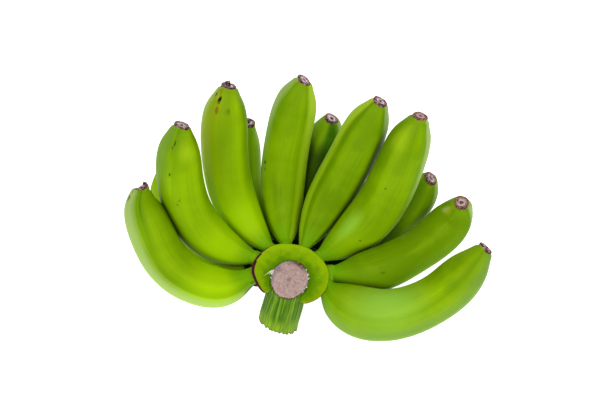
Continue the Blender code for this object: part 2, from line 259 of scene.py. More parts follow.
# The sweep that makes a skin round a middle line
def sweptSkinTree():
    tree = bpy.data.node_groups.new("sweptSkin", "GeometryNodeTree")
    sockets = {}
    for name, kind in (("Geometry", "NodeSocketGeometry"), ("Ring Points", "NodeSocketInt"),
                       ("Ridges", "NodeSocketFloat"), ("Ridge Height", "NodeSocketFloat"),
                       ("Ridge Turn", "NodeSocketFloat"), ("Lump Height", "NodeSocketFloat"),
                       ("Lump Size", "NodeSocketFloat"), ("Groove Height", "NodeSocketFloat"),
                       ("Grooves", "NodeSocketFloat"), ("Seed", "NodeSocketFloat"),
                       ("Skin Radius", "NodeSocketFloat"), ("Material", "NodeSocketMaterial")):
        sockets[name] = tree.interface.new_socket(name, in_out="INPUT", socket_type=kind).identifier
    tree.interface.new_socket("Geometry", in_out="OUTPUT", socket_type="NodeSocketGeometry")
    given = addNode(tree, "NodeGroupInput").outputs

    read = {name: addNode(tree, "GeometryNodeInputNamedAttribute", {"Name": name}, data_type=kind).outputs[0]
            for name, kind in (("across", "FLOAT_VECTOR"), ("spine", "FLOAT_VECTOR"), ("rim", "FLOAT_VECTOR"),
                               ("girth", "FLOAT"), ("travelled", "FLOAT"), ("edging", "FLOAT"))}
    here = addNode(tree, "GeometryNodeInputPosition").outputs[0]
    path = addNode(tree, "GeometryNodeMeshToCurve", {"Mesh": given["Geometry"]}).outputs[0]
    ring = addNode(tree, "GeometryNodeCurvePrimitiveCircle", {"Resolution": given["Ring Points"],
                   "Radius": 1.0}, mode="RADIUS").outputs[0]
    path, ring = (addNode(tree, "GeometryNodeStoreNamedAttribute",
                          {"Geometry": curve, "Name": name, "Value": here},
                          data_type="FLOAT_VECTOR", domain="POINT").outputs[0]
                  for curve, name in ((path, "spine"), (ring, "rim")))
    path = addNode(tree, "GeometryNodeSetCurveNormal", {"Curve": path, "Normal": read["across"]},
                   mode="FREE").outputs[0]
    skin = addNode(tree, "GeometryNodeCurveToMesh", {"Curve": path, "Profile Curve": ring,
                   "Scale": read["girth"], "Fill Caps": True}).outputs[0]

    # blunt ridges, soft lumps and fine lengthwise grooves push the skin outwards
    rim = addNode(tree, "ShaderNodeSeparateXYZ", {0: read["rim"]}).outputs
    turn = grow(tree, "ADD", ("ARCTAN2", rim[1], rim[0]), given["Ridge Turn"])
    waves = grow(tree, "MULTIPLY", turn, given["Ridges"])
    ridge = grow(tree, "ADD", ("ADD", ("COSINE", waves), ("MULTIPLY", ("COSINE", ("MULTIPLY", waves, 2.0)),
                                                          0.36)),
                 ("MULTIPLY", ("COSINE", ("MULTIPLY", waves, 3.0)), 0.13))
    flatSkin = addNode(tree, "ShaderNodeCombineXYZ", {
        0: grow(tree, "MULTIPLY", rim[0], given["Skin Radius"]),
        1: grow(tree, "MULTIPLY", rim[1], given["Skin Radius"]), 2: read["travelled"]}).outputs[0]
    apart = addNode(tree, "ShaderNodeVectorMath", {0: (0.37, 0.71, 1.13), "Scale": given["Seed"]},
                    operation="SCALE").outputs[0]
    shifted = addNode(tree, "ShaderNodeVectorMath", {0: flatSkin, 1: apart}, operation="ADD").outputs[0]
    long = addNode(tree, "ShaderNodeVectorMath", {0: shifted, 1: (1.0, 1.0, 0.06)},
                   operation="MULTIPLY").outputs[0]
    swell = grow(tree, "MULTIPLY", ("MULTIPLY", ridge, given["Ridge Height"]), read["edging"])
    for pattern, scale, detail, height in (
            (shifted, grow(tree, "DIVIDE", 1.0, given["Lump Size"]), 1.0, given["Lump Height"]),
            (long, given["Grooves"], 2.0, given["Groove Height"])):
        sized = addNode(tree, "ShaderNodeVectorMath", {0: pattern, "Scale": scale},
                        operation="SCALE").outputs[0]
        bumps = addNode(tree, "ShaderNodeTexNoise", {"Vector": sized, "Scale": 1.0,
                                                     "Detail": detail}).outputs["Fac"]
        swell = grow(tree, "ADD", swell, ("MULTIPLY", ("SUBTRACT", bumps, 0.5), height))
    outward = addNode(tree, "ShaderNodeVectorMath", {0: here, 1: read["spine"]},
                      operation="SUBTRACT").outputs[0]
    outward = addNode(tree, "ShaderNodeVectorMath", {0: outward, "Scale": swell}, operation="SCALE").outputs[0]
    for name, value, kind in (("ridge", ridge, "FLOAT"), ("skinPlace", flatSkin, "FLOAT_VECTOR")):
        skin = addNode(tree, "GeometryNodeStoreNamedAttribute",
                       {"Geometry": skin, "Name": name, "Value": value},
                       data_type=kind, domain="POINT").outputs[0]
    for kind, inputs in (("SetPosition", {"Offset": outward}), ("SetShadeSmooth", {}), ("RealizeInstances", {}),
                         ("SetMaterial", {"Material": given["Material"]})):
        skin = addNode(tree, "GeometryNode" + kind, {"Geometry": skin, **inputs}).outputs[0]
    addNode(tree, "NodeGroupOutput", {0: skin})
    return tree, sockets


sweptSkin, sweptInputs = sweptSkinTree()


def linkMesh(name, mesh):
    piece = bpy.data.objects.new(name, mesh)
    bpy.context.scene.collection.objects.link(piece)
    return piece


def sweep(name, line, width, travelled, along, edging, across, inputs):
    mesh = bpy.data.meshes.new(name + "Middle")
    mesh.from_pydata([tuple(p) for p in line], [(at, at + 1) for at in range(len(line) - 1)], [])
    for attribute, values in (("girth", width), ("travelled", travelled), ("along", along),
                              ("edging", edging)):
        mesh.attributes.new(attribute, "FLOAT", "POINT").data.foreach_set("value", values.astype(np.float32))
    mesh.attributes.new("across", "FLOAT_VECTOR", "POINT").data.foreach_set(
        "vector", across.astype(np.float32).ravel())
    helper = linkMesh(name + "Middle", mesh)
    growth = helper.modifiers.new("sweptSkin", "NODES")
    growth.node_group = sweptSkin
    for key, value in inputs.items():
        growth[sweptInputs[key]] = value
    bpy.context.view_layer.update()
    made = helper.evaluated_get(bpy.context.evaluated_depsgraph_get())
    skin = bpy.data.meshes.new_from_object(made)
    skin.name = name
    bpy.data.objects.remove(helper)
    shape = bmesh.new()
    shape.from_mesh(skin)
    bmesh.ops.remove_doubles(shape, verts=shape.verts, dist=0.001 * mm)
    bmesh.ops.recalc_face_normals(shape, faces=shape.faces)
    shape.to_mesh(skin)
    shape.free()
    return linkMesh(name, skin)


def keepAbove(mesh, floorHeight):  # presses flat what would reach into the surface
    places = np.empty(len(mesh.vertices) * 3, np.float32)
    mesh.vertices.foreach_get("co", places)
    places = places.reshape(-1, 3)
    places[:, 2] = np.maximum(places[:, 2], floorHeight)
    mesh.vertices.foreach_set("co", places.ravel())
    mesh.update()


# The peel: smooth wax-covered skin of an unripe banana, with faint lengthwise streaks, yellower ridges, olive
# sides and a few brown specks and bruises. Its gloss is kept low. Light and shade are painted into its colour:
# pale rims are painted reflection, bright patches painted highlight and sheen, darker sides, patches and
# crannies painted shade, so they stay where they are under any light.
peel = {
    "light": "#96BE00", "olive": "#719800", "neck": "#7CB608", "shoulderLight": "#A9D600", "tip": "#80A80A",
    "speck": "#4A3412",
    # painted tints: the pale rim tint is painted reflection, the waxy tint painted sheen, the sunny tint
    # painted highlight, the shoulder tint painted light, and the shadow, deep, dusk, gloom and crevice tints
    # painted shade
    "shadow": "#5C8A00", "bloomAndSheen": "#AECB74", "line": "#4A7A06", "creviceShade": "#0A1402", "deepToneAndShade": "#2E6608",
    "olivePatch": "#A6B60A", "scuff": "#B4B424", "paintedSheen": "#A0D84A", "sunny": "#ACCE18",
    "duskShade": "#769E42", "gloom": "#1C3A04", "bruise": "#241A0C", "stain": "#8C6A12", "streakWidth": 2.6 * mm,
    "blotchWidth": 26 * mm,
    "speckSpacing": 13 * mm, "poreWidth": 0.35 * mm, "roughness": 0.46, "sheen": 0.02,
}


def peelMaterial(name, shade, marks, length, facetLightAndShade, shoulderLight, gloom):
    material, tree, surface = newMaterial(name)
    skin = addNode(tree, "ShaderNodeAttribute", attribute_name="skinPlace").outputs["Vector"]
    along, ridge = (addNode(tree, "ShaderNodeAttribute", attribute_name=name).outputs["Fac"]
                    for name in ("along", "ridge"))
    long = addNode(tree, "ShaderNodeVectorMath", {0: skin, 1: (1, 1, 0.05)}, operation="MULTIPLY").outputs[0]
    streaks = addNode(tree, "ShaderNodeTexNoise", {"Vector": long, "Scale": 1 / peel["streakWidth"],
                      "Detail": 3.0}).outputs["Fac"]
    blotches = addNode(tree, "ShaderNodeTexNoise", {"Vector": skin, "Scale": 1 / peel["blotchWidth"],
                       "Detail": 3.0}).outputs["Fac"]
    dullAndShade = grow(tree, "ADD", ("MULTIPLY", ridge, -0.12),
                ("MULTIPLY", ("SUBTRACT", streaks, 0.5), 0.9))
    dullAndShade = grow(tree, "ADD", dullAndShade, ("MULTIPLY", ("SUBTRACT", blotches, 0.5), 1.6))
    # painted shade: darker towards the tip
    dullAndShade = grow(tree, "ADD", dullAndShade, ("STEP", along, 0.55, 0.85, 0.0, 0.22))
    # painted shade: each fruit's shade darkens it as a whole, a negative one brightens it
    dullAndShade = grow(tree, "ADD", dullAndShade, 0.35 + shade, limit=True)
    colour = grow(tree, "MIX", dullAndShade, peel["light"], peel["olive"])
    colour = grow(tree, "MIX", ("STEP", along, 0.16, 0.0), colour, peel["neck"])
    colour = grow(tree, "MIX", ("STEP", along, 0.92, 1.0, 0.0, 0.6), colour, peel["tip"])
    # painted light: a brighter band from near the root towards the middle, as strong as each fruit's own
    # setting
    sunlit = grow(tree, "MULTIPLY", ("STEP", along, 0.5, 0.22, 0.0, shoulderLight), ("STEP", along, 0.03, 0.15))
    colour = grow(tree, "MIX", sunlit, colour, peel["shoulderLight"])
    parts = addNode(tree, "ShaderNodeSeparateXYZ", {0: skin}).outputs
    wavy = grow(tree, "MULTIPLY", ("SUBTRACT", streaks, 0.5), 0.16)
    around = grow(tree, "ADD", ("ARCTAN2", parts[1], parts[0]), wavy)
    # painted light and shade on the skin beyond a ridge: paler tints are painted reflection and highlight,
    # darker ones painted shade; a painted shadow band lies just inside the ridge, with a thin line on the ridge
    for start, drift, side, tint, strength, softness, fadeFrom, lineStrength in facetLightAndShade:
        edge = grow(tree, "ADD", ("MULTIPLY", ("SUBTRACT", 1.0, along),
                                      math.radians(drift)), math.radians(start))
        over = grow(tree, "MULTIPLY", ("SUBTRACT", around, edge), side)
        reach = grow(tree, "STEP", along, fadeFrom, fadeFrom + 0.35)
        inner = grow(tree, "MULTIPLY", ("STEP", over, -0.5, -0.02), ("STEP", over, 0.10, 0.0))
        colour = grow(tree, "MIX", ("MULTIPLY", inner, ("MULTIPLY", reach, 0.35)), colour,
                       peel["shadow"])
        tinted = grow(tree, "MULTIPLY", ("STEP", over, 0.0, softness),
                      ("MULTIPLY", reach, strength))
        tinted = grow(tree, "MULTIPLY", tinted, ("STEP", over, 1.7, 0.8))
        tinted = grow(tree, "MULTIPLY", tinted, ("STEP", blotches, 0.2, 0.6, 0.6, 1.0))
        colour = grow(tree, "MIX", tinted, colour, peel[tint])
        ridgeLine = grow(tree, "STEP", ("ABSOLUTE", over), 0.075, 0.015, 0.0, lineStrength)
        ridgeLine = grow(tree, "MULTIPLY", ridgeLine, ("STEP", along, 0.78, 0.94))
        colour = grow(tree, "MIX", ridgeLine, colour, peel["line"])
    # painted shade: darker towards the crown on the lower fruits
    colour = grow(tree, "MIX", ("STEP", along, gloom[0], gloom[1], 0.0, gloom[2]), colour, peel["gloom"])
    cells = addNode(tree, "ShaderNodeTexVoronoi", {"Vector": skin, "Scale": 1 / peel["speckSpacing"]})
    chosen = addNode(tree, "ShaderNodeSeparateColor", {0: cells.outputs["Color"]}).outputs
    size = grow(tree, "MULTIPLY", ("STEP", chosen[0], 0.6, 1.0), 0.045)
    speck = grow(tree, "STEP", ("SUBTRACT", cells.outputs["Distance"], size), 0.012, -0.012, 0.0, 0.75)
    colour = grow(tree, "MIX", speck, colour, peel["speck"])
    wobble = addNode(tree, "ShaderNodeTexNoise", {"Vector": skin, "Scale": 1 / (2.2 * mm), "Detail": 3.0})
    warped = addNode(tree, "ShaderNodeVectorMath", {0: wobble.outputs["Color"], 1: (0.5, 0.5, 0.5)},
                     operation="SUBTRACT").outputs[0]
    warped = addNode(tree, "ShaderNodeVectorMath", {0: warped, "Scale": 3.2 * mm}, operation="SCALE").outputs[0]
    warped = addNode(tree, "ShaderNodeVectorMath", {0: skin, 1: warped}, operation="ADD").outputs[0]
    # marks are stains, bruises, scuffs and olive patches of the skin's own colour, and painted patches: the
    # sunny ones painted highlight, the waxy ones painted sheen, the pale rim ones painted reflection and the
    # shadow ones painted shade
    for turn, fromTip, size, squash, tint, strength in marks:
        place = (math.cos(math.radians(turn)) * fruitShape["skinRadius"],
                 math.sin(math.radians(turn)) * fruitShape["skinRadius"], length - fromTip * mm)
        away = addNode(tree, "ShaderNodeVectorMath", {0: warped, 1: place}, operation="SUBTRACT").outputs[0]
        away = addNode(tree, "ShaderNodeVectorMath", {0: away, 1: (1, 1, squash)},
                       operation="MULTIPLY").outputs[0]
        away = addNode(tree, "ShaderNodeVectorMath", {0: away}, operation="LENGTH").outputs["Value"]
        patch = grow(tree, "STEP", away, size * mm, (size * 0.5 if size < 4 else 0.0) * mm, 0.0, strength)
        colour = grow(tree, "MIX", patch, colour, peel[tint])
    # painted shade in the crannies between fruits and far down between the necks
    crannyShade = addNode(tree, "ShaderNodeAttribute", attribute_name="crannyShade").outputs["Fac"]
    colour = grow(tree, "MIX", crannyShade, colour, peel["creviceShade"])
    tree.links.new(colour, surface.inputs["Base Color"])
    pores = addNode(tree, "ShaderNodeTexNoise", {"Vector": skin, "Scale": 1 / peel["poreWidth"], "Detail": 2.0})
    rise = grow(tree, "ADD", ("MULTIPLY", streaks, 1.0),
                ("MULTIPLY", pores.outputs["Fac"], 0.12))
    relief = addNode(tree, "ShaderNodeBump", {"Strength": 0.35, "Distance": 0.25 * mm, "Height": rise})
    tree.links.new(relief.outputs[0], surface.inputs["Normal"])
    tree.links.new(grow(tree, "STEP", blotches, 0.3, 0.7, peel["roughness"] - 0.04, peel["roughness"] + 0.06),
                   surface.inputs["Roughness"])
    surface.inputs["IOR"].default_value = 1.42
    surface.inputs["Sheen Weight"].default_value = peel["sheen"]
    surface.inputs["Sheen Roughness"].default_value = 0.22
    surface.inputs["Sheen Tint"].default_value = hexColour("#E4F2C8")
    surface.inputs["Specular IOR Level"].default_value = 0.06
    return material


# Each fruit: how far its ridges are turned, how much painted shade dulls its green as a whole, and its swell,
# nudge (millimetres) and gloom (painted shade) at shares of its length. A mark is its turn, distance from the
# tip, size, squash, colour and strength; a facet of painted light and shade is its start, drift, side, colour,
# strength, softness, where it fades and its line's strength.
fruits = {
    "upper_banana_1": {
        "turn": -12, "shade": 0.15, "swell": ((0, 1.05), (0.08, 1.22), (0.2, 1.08), (0.3, 1.0), (1, 1.03)),
        "pinch": 0.05, "flare": 0.0,
        "nudge": ((0, 0, -0.5), (0.1, 0, -0.8), (0.2, 0.2, -1.2), (0.35, -0.4, -0.5), (0.5, 0.2, -0.3),
                  (0.75, 4.9, 0.8), (1, 0.7, 0)),
        "marks": ((-58, 7.5, 2.0, 0.7, "stain", 0.95), (-54, 3.0, 1.3, 0.7, "stain", 0.8)),
        "facetLightAndShade": ((-4, -22, -1, "bloomAndSheen", 0.2, 1.1, 0.5, 0.8), (-18, -6, -1, "bloomAndSheen", 0.75, 0.45, -0.3, 0.0)),
        "style": 1.3, "styleAside": 4.2, "shoulderLight": 0.9},
    "upper_banana_2": {
        "turn": 27, "shade": 0.0, "swell": ((0, 1.015), (0.85, 1.0), (1, 1.02)),
        "nudge": ((0, 0, 0), (0.6, -0.2, 0), (0.9, -0.4, 0.3), (1, 0, 0.3)),
        "marks": ((-30, 33, 1.3, 0.8, "bruise", 0.8), (-24, 10, 1.2, 0.5, "bruise", 0.7),
                  (-28, 13, 0.9, 0.5, "bruise", 0.6), (-12, 55, 0.7, 0.4, "bruise", 0.5),
                  (-20, 58, 0.8, 0.6, "bruise", 0.45), (18, 16, 12.0, 1.0, "sunny", 0.6)),
        "facetLightAndShade": ((-24, -34, -1, "bloomAndSheen", 0.2, 0.6, 0.6, 0.3),
                   (-20, -20, -1, "shadow", 0.35, 0.5, -0.1, 0.0)), "shoulderLight": 0.75},
    "upper_banana_3": {
        "turn": 30, "shade": -0.18, "swell": ((0, 1.03), (0.6, 1.02), (0.85, 1.06), (1, 1.03)),
        "nudge": ((0, 0, 0), (0.5, 0.3, 0), (0.85, -0.7, 0), (1, -0.3, 0.2)), "style": 1.9, "styleAside": -0.6,
        "marks": ((-46, 40, 26, 0.4, "olivePatch", 0.7), (-10, 42, 17, 0.3, "shadow", 0.6),
                  (-50, 6.0, 3.6, 1.0, "scuff", 0.7), (-66, 6.0, 1.9, 0.9, "bruise", 1.0),
                  (-33, 8.0, 3.0, 0.9, "bruise", 1.0), (-32, 9.5, 1.0, 0.9, "stain", 0.9),
                  (-31, 15, 2.4, 0.6, "stain", 0.9), (2, 15, 4.2, 1.0, "bruise", 0.22),
                  (6, 14.5, 2.2, 1.0, "bruise", 0.2), (-40, 3, 1.6, 0.6, "stain", 0.6)),
        "facetLightAndShade": ((-56, -6, -1, "bloomAndSheen", 0.8, 0.7, 0.2, 0.0),), "shoulderLight": 1.0, "pinch": 0.24},
    "upper_banana_4": {
        "turn": 46, "shade": 0.12, "swell": ((0, 1.0), (0.7, 0.98), (0.92, 1.02), (1, 1.0)),
        "nudge": ((0, 0, 0), (0.5, -0.7, 0), (0.9, -0.9, 0.2), (1, 0, 0.2)),
        "marks": ((70, 70, 14, 0.17, "sunny", 0.5), (-54, 76, 1.8, 0.9, "bruise", 1.0),
                  (-50, 82, 0.9, 0.7, "bruise", 0.8)),
        "facetLightAndShade": ((-44, -14, -1, "bloomAndSheen", 0.5, 0.4, 0.45, 0.2), (34, 0, 1, "sunny", 1.0, 0.35, -0.2, 0.0)),
        "pinch": 0.30},
    "upper_banana_5": {
        "turn": 27, "shade": 0.38,
        "swell": ((0, 1.03), (0.4, 1.08), (0.7, 1.04), (0.92, 1.03), (1, 1.0)),
        "nudge": ((0, 0, 0), (0.5, 0, 0), (0.85, -1.5, 0.6), (1, -0.6, 1.0)),
        "facetLightAndShade": ((50, 4, 1, "bloomAndSheen", 0.7, 0.3, 0.62, 0.2), (-44, 0, -1, "sunny", 1.0, 0.3, -0.2, 0.0)),
        "pinch": 0.30},
    "upper_banana_6": {
        "turn": 25, "shade": 0.28,
        "swell": ((0, 1.03), (0.22, 1.12), (0.4, 1.08), (0.8, 1.0), (0.93, 1.04), (1, 1.03)),
        "nudge": ((0, 0, 0), (0.6, -0.5, 0.4), (0.8, -0.2, -0.2), (0.93, 0.2, 0.2), (1, 0, 1.0)),
        "shoulderLight": 0.3,
        "marks": ((-36, 118, 9, 0.3, "paintedSheen", 0.6), (-10, 60, 1.0, 0.8, "bruise", 0.6),
                  (15, 120, 1.1, 0.8, "bruise", 0.6),
                  (-30, 16, 14.0, 0.8, "sunny", 0.6), (8, 4.5, 0.8, 1.0, "bruise", 0.7)),
        "facetLightAndShade": ((52, 6, 1, "bloomAndSheen", 0.7, 0.3, 0.4, 0.2),), "pinch": 0.26},
    "upper_banana_7": {
        "turn": 12, "shade": 0.6,
        "swell": ((0, 1.0), (0.08, 1.18), (0.25, 1.11), (0.4, 1.0), (0.55, 0.96), (0.7, 1.02), (0.88, 1.10),
                  (1, 1.0)),
        "nudge": ((0, 0, 0.3), (0.1, 0, -1.3), (0.3, 0, 0), (0.5, 0, 1.2), (0.6, 0, 0.7), (0.75, 0, 0.1),
                  (0.9, -0.5, 0.1), (1, -1.2, 0.4)),
        "marks": ((-50, 8, 9.0, 0.9, "scuff", 0.6), (-58, 10, 5.5, 0.7, "bloomAndSheen", 0.5),
                  (-48, 16, 1.6, 0.5, "stain", 0.4), (10, 100, 1.4, 0.6, "bruise", 0.35)),
        "facetLightAndShade": ((64, 6, 1, "bloomAndSheen", 0.7, 0.3, 0.0, 0.1),)},
    "upper_banana_8": {
        "turn": 17, "shade": 0.0,
        "swell": ((0, 1.05), (0.08, 1.42), (0.2, 1.26), (0.35, 1.08), (0.5, 0.99), (0.7, 0.95), (0.86, 0.99),
                  (0.94, 0.90), (1, 0.96)),
        "nudge": ((0, 0, 1.3), (0.08, -0.5, 6.2), (0.2, -0.4, 4.8), (0.35, 0, 3.0), (0.5, 0, 1.2),
                  (0.7, 0.2, -1.2),
                  (0.9, -1.0, -0.9), (1, 0.8, 0.5)),
        "marks": ((-42, 95, 30, 0.6, "paintedSheen", 0.8), (-8, 34, 9, 0.8, "shadow", 0.35)),
        "facetLightAndShade": ((6, 0, 1, "duskShade", 0.9, 0.9, -0.3, 0.0),)},
    "lower_banana_1": {
        "turn": 0, "shade": -1.3, "sheltered": 0.0,
        "nudge": ((0, 0, 0), (0.5, 1, 0), (1, 2, 0))},
    "lower_banana_2": {
        "turn": 15, "shade": -0.22, "gloom": (0.7, 0.45, 0.4), "style": 1.2,
        "nudge": ((0, 0, 0), (0.5, -1.2, 0), (1, -1.2, 0.3)),
        "facetLightAndShade": ((30, 0, 1, "bloomAndSheen", 0.4, 0.7, 0.4, 0.0),)},
    # Lower bananas 3 and 4: the dark facet tint is painted shade, the pale one painted reflection
    "lower_banana_3": {
        "turn": 30, "shade": -0.1, "gloom": (0.95, 0.76, 0.85), "swell": ((0, 1.03), (1, 1.06)),
        "nudge": ((0, 0, 0), (0.5, -1.2, 0.2), (0.85, -1.0, 0.7), (1, 0.5, 1.4)),
        "facetLightAndShade": ((-20, -60, 1, "deepToneAndShade", 0.95, 0.6, 0.1, 0.0), (56, 0, 1, "bloomAndSheen", 0.5, 0.3, 0.2, 0.0))},
    "lower_banana_4": {
        "turn": 45, "shade": 0.65, "gloom": (0.76, 0.52, 0.68),
        "nudge": ((0, 0, 0), (0.5, -1, 0), (0.85, -2.4, 0.6), (1, 0.2, 1.4)),
        "marks": ((-62, 7, 8.0, 0.9, "sunny", 0.8), (-50, 10, 2.4, 0.6, "scuff", 0.6)),
        "facetLightAndShade": ((-60, 0, 1, "deepToneAndShade", 0.4, 1.4, -0.1, 0.0), (66, 0, 1, "bloomAndSheen", 0.7, 0.35, -0.1, 0.0))},
}
fruitShape = {
    "rings": 96, "ringPoints": 60, "ridges": {"upper": 0.020, "lower": 0.022}, "rootDepth": 11 * mm,
    "lumpHeight": 0.035, "lumpSize": 45 * mm,
    "grooveHeight": 0.008, "grooves": 420.0, "skinRadius": 18 * mm, "smoothing": 30,
    "neckPinch": 0.20, "neckLength": 9 * mm, "crannyShadeReach": 6.0 * mm, "crannyShadeStrength": 0.95,
    "neckShade": 8 * mm,
}


skyward = np.array([0.0, -0.42, 0.91])  # where a fruit's ridges are counted from
uphill = (0.906, 0.423)  # along the floor and above it, the way that is up in the view


def eased(along, at, values):  # values at shares of the length, joined without kinks
    found = np.interp(along, at, values)
    for _ in range(60):
        found[1:-1] = (found[:-2] + 2 * found[1:-1] + found[2:]) / 4
    return found


def nudged(along, stations):  # small sideways and uphill shifts at shares of the length, in millimetres
    at, right, up = np.array(stations, float).T
    right, up = eased(along, at, right), eased(along, at, up)
    return np.stack([right, up * uphill[0], up * uphill[1]], 1) * mm


cushion = {
    "radius": 24.0 * mm, "setBack": 8.0 * mm, "top": -1.0 * mm, "depth": 36.0 * mm, "flare": 0.22,
    "frontTaper": 0.6, "flareLength": 2.6 * mm, "sleeveLength": 10 * mm, "voxel": 0.9 * mm, "smoothing": 6,
}
sleeves = []
tips = {}
peeled = {}
for order, (node, look) in enumerate(fruits.items()):
    places, girths = middleLine(node, fruitShape["rootDepth"])
    line, width, travelled = evened(places, girths, fruitShape["rings"], fruitShape["smoothing"])
    along = (travelled - fruitShape["rootDepth"]) / (travelled[-1] - fruitShape["rootDepth"])
    line = line + nudged(along, look["nudge"])
    width = width * eased(along, *np.array(look.get("swell", ((0, 1), (1, 1))), float).T)
    ahead, across = carriedAcross(line, skyward)
    edging = 1.0 + 0.7 * np.clip((along - 0.8) / 0.15, 0, 1) + 0.4 * np.clip((0.15 - along) / 0.1, 0, 1)
    edging *= np.clip((1.0 - along) / 0.02, 0, 1)
    free = np.maximum(travelled - fruitShape["rootDepth"], 0)
    width = width * (1 - look.get("pinch",
                                  fruitShape["neckPinch"]) * np.exp(-(free / fruitShape["neckLength"]) ** 2))
    peelLook = peelMaterial(pieceName("greenPeel", node), look["shade"], look.get("marks", ()),
                            travelled[-1], look.get("facetLightAndShade", ()), look.get("shoulderLight", 0.0),
                            look.get("gloom", (0.3, 0.1, 0.0)))
    piece = sweep(pieceName("", node), line, width, travelled, along, edging, across, {
        "Ring Points": fruitShape["ringPoints"], "Ridges": 5.0, "Ridge Height": fruitShape["ridges"][node[:5]],
        "Ridge Turn": math.radians(look["turn"]), "Lump Height": fruitShape["lumpHeight"],
        "Lump Size": fruitShape["lumpSize"], "Groove Height": fruitShape["grooveHeight"],
        "Grooves": fruitShape["grooves"], "Seed": 1.0 + order, "Skin Radius": fruitShape["skinRadius"],
        "Material": peelLook,
    })
    keepAbove(piece.data, 0.0)
    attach(piece, "root")
    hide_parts(node)
    sleeves.append((line, width, travelled, look.get("flare", cushion["flare"])))
    tips[node] = (line[-1] + ahead[-1] * 1.0 * mm, ahead[-1], across[-1])
    peeled[node] = piece


def paintCrannyShade():  # painted shade: steep skin close against a neighbour, or far down between the necks, is coloured darker
    solids = {node: mergedSolid(piece)[2] for node, piece in peeled.items()}
    toCrown = np.array(crownFrame.to_3x3())
    for node, piece in peeled.items():
        places = np.array([vertex.co for vertex in piece.data.vertices])
        upright = np.array([vertex.normal.z for vertex in piece.data.vertices])
        shares = np.zeros(len(places))
        for at, place in enumerate(places):
            for other, tree in solids.items():
                if other == node:
                    continue
                found = tree.find_nearest(Vector(place), fruitShape["crannyShadeReach"])
                if found[0] is not None:
                    shares[at] = max(shares[at], 1 - found[3] / fruitShape["crannyShadeReach"])
        shares = shares ** 1.1 * np.clip(1.5 - 1.4 * np.maximum(upright, 0), 0, 1)
        local = (places - np.array(collarCentre)) @ toCrown
        outward = np.linalg.norm(local[:, :2], axis=1)
        facing = 1.0 if node.startswith("lower") else np.clip(1.3 - 1.3 * upright, 0, 1)
        deepToneAndShade = np.clip((-local[:, 2] - fruitShape["neckShade"]) / (5 * mm), 0, 1) * facing
        deepToneAndShade = deepToneAndShade * np.clip((75 * mm - outward) / (25 * mm), 0, 1) * np.clip(local[:, 1] / (6 * mm) + 2, 0, 1)
        shares = np.maximum(shares, deepToneAndShade) * fruitShape["crannyShadeStrength"] * fruits[node].get("sheltered", 1.0)
        piece.data.attributes.new("crannyShade", "FLOAT", "POINT").data.foreach_set(
            "value", shares.astype(np.float32))


paintCrannyShade()
print("peeled", len(fruits), "fruit")


# Shapes in the crown's own frame
def loft(name, rings, material, marks=None):  # closed skin over rings of points, with rounded-off end caps
    count, around = len(rings), len(rings[0])
    points = [tuple(p) for ring in rings for p in ring]
    faces = []
    for at in range(count - 1):
        for turn in range(around):
            after = (turn + 1) % around
            faces.append((at * around + turn, at * around + after,
                          (at + 1) * around + after, (at + 1) * around + turn))
    for end, ring in ((0, rings[0]), (count - 1, rings[-1])):
        middle = len(points)
        points.append(tuple(np.mean(ring, axis=0)))
        for turn in range(around):
            faces.append((end * around + turn, middle, end * around + (turn + 1) % around))
    mesh = bpy.data.meshes.new(name)
    mesh.from_pydata(points, [], faces)
    for attribute, values in (marks or {}).items():
        values = np.asarray(values, np.float32).reshape(count, around)
        ends = [values[0].mean(), values[-1].mean()]
        mesh.attributes.new(attribute, "FLOAT", "POINT").data.foreach_set(
            "value", np.concatenate([values.ravel(), ends]).astype(np.float32))
    shape = bmesh.new()
    shape.from_mesh(mesh)
    bmesh.ops.remove_doubles(shape, verts=shape.verts, dist=0.002 * mm)
    bmesh.ops.recalc_face_normals(shape, faces=shape.faces)
    shape.to_mesh(mesh)
    shape.free()
    mesh.shade_smooth()
    mesh.materials.append(material)
    return linkMesh(name, mesh)


def onCrown(points):  # from the crown's frame to the world
    turned = np.array(crownFrame.to_3x3())
    return np.asarray(points) @ turned.T + np.array(collarCentre)


def placePiece(piece, slot, *stoodFor):
    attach(piece, "root")
    if stoodFor:
        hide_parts(*stoodFor)


def rough(point, size, seed):  # smooth noise from -1 to 1 at one point
    return noise.noise(Vector(point) / size + Vector((seed * 7.3, seed * 3.1, seed * 5.7)))


# Crown skin: living green skin like the peel's, but duller and bluer where the necks join, with painted
# near-black shade far down between the necks
crownLook = {
    "light": "#84BA06", "olive": "#74AC08", "bloomAndSheen": "#86C050", "deepToneAndShade": "#060C02", "roughness": 0.5,
    "blotch": 7 * mm, "streak": 1.6 * mm,
}


def crownSkinMaterial():
    material, tree, surface = newMaterial("greenCrownSkin")
    place = addNode(tree, "ShaderNodeTexCoord").outputs["Object"]
    blotches, fine = (addNode(tree, "ShaderNodeTexNoise", {"Vector": place, "Scale": 1 / size,
                      "Detail": detail}).outputs["Fac"]
                      for size, detail in ((crownLook["blotch"], 3.0), (crownLook["streak"], 3.0)))
    crannyShade = addNode(tree, "ShaderNodeAttribute", attribute_name="crannyShade").outputs["Fac"]
    colour = grow(tree, "MIX", ("STEP", blotches, 0.35, 0.65), crownLook["light"],
                   crownLook["olive"])
    colour = grow(tree, "MIX", ("STEP", fine, 0.5, 0.8, 0.0, 0.25), colour, crownLook["bloomAndSheen"])
    # painted shade far down between the necks
    colour = grow(tree, "MIX", crannyShade, colour, crownLook["deepToneAndShade"])
    finishSurface(tree, surface, colour, (0.3, 0.3 * mm, fine), crownLook["roughness"], 0.05)
    return material


